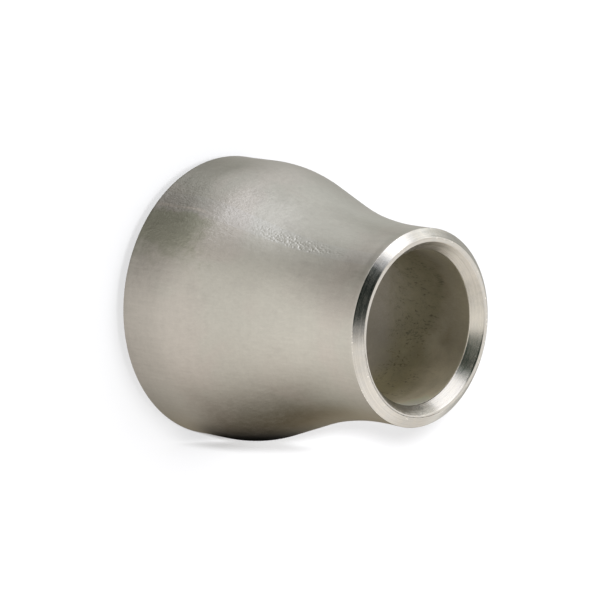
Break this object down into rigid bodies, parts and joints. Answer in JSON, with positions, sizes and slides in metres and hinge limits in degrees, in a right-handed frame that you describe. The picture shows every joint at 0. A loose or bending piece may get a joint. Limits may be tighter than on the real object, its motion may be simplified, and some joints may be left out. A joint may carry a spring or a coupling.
{
  "type": "concentric reducer",
  "caption": "Butt-weld concentric pipe reducer: round tapered tube with straight bevelled ends and a seam weld, joining a large pipe to a small one on a common axis.",
  "frame": {"origin": "centre of the large end's face, on the axis; the part stands on that face", "axes": "+Z along the pipe axis from the large end to the small end; the seam weld runs along the -Y side"},
  "size_m": [0.0888, 0.0888, 0.089],
  "materials": {
    "shell_steel": "pickled and blasted satin stainless, bright turned bevels, land and bore taper",
    "weld_steel": "pickled stainless weld, dressed flush, pitted and coarse-grained"
  },
  "bodies": {
    "root": {"reducer_shell": "shell_steel", "longitudinal_seam_weld": "weld_steel"}
  },
  "joints": []
}
